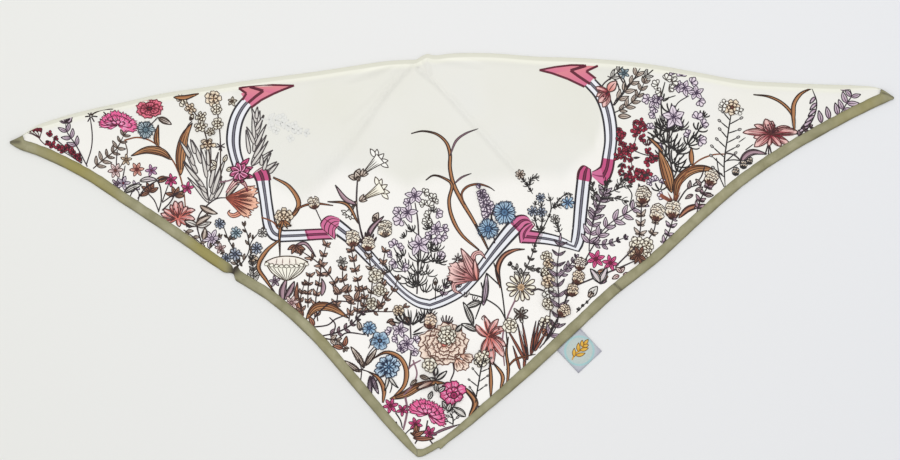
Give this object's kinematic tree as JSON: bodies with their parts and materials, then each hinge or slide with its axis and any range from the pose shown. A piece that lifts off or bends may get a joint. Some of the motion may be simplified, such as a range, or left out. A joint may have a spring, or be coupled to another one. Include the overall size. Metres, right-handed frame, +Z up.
{
  "type": "silk square scarf, folded on the diagonal and laid flat",
  "caption": "Printed silk square scarf folded once on its diagonal into a flat triangle, with a bound hem and a small sewn label.",
  "frame": {"origin": "middle of the footprint of the laid scarf, on the surface it rests on", "axes": "+X along the diagonal fold towards the longer corner, +Y across the surface from the apex towards the fold, +Z up off the surface"},
  "size_m": [0.909, 0.4162, 0.0066],
  "materials": {
    "silk": "ivory silk twill with a soft sheen, printed",
    "hem": "olive silk binding, slightly mottled",
    "label": "pale woven satin"
  },
  "bodies": {
    "root": {"silk_square": "silk", "hem_upper_left": "hem", "hem_upper_right": "hem", "hem_under_left": "hem", "hem_under_right": "hem", "label": "label"}
  },
  "joints": []
}
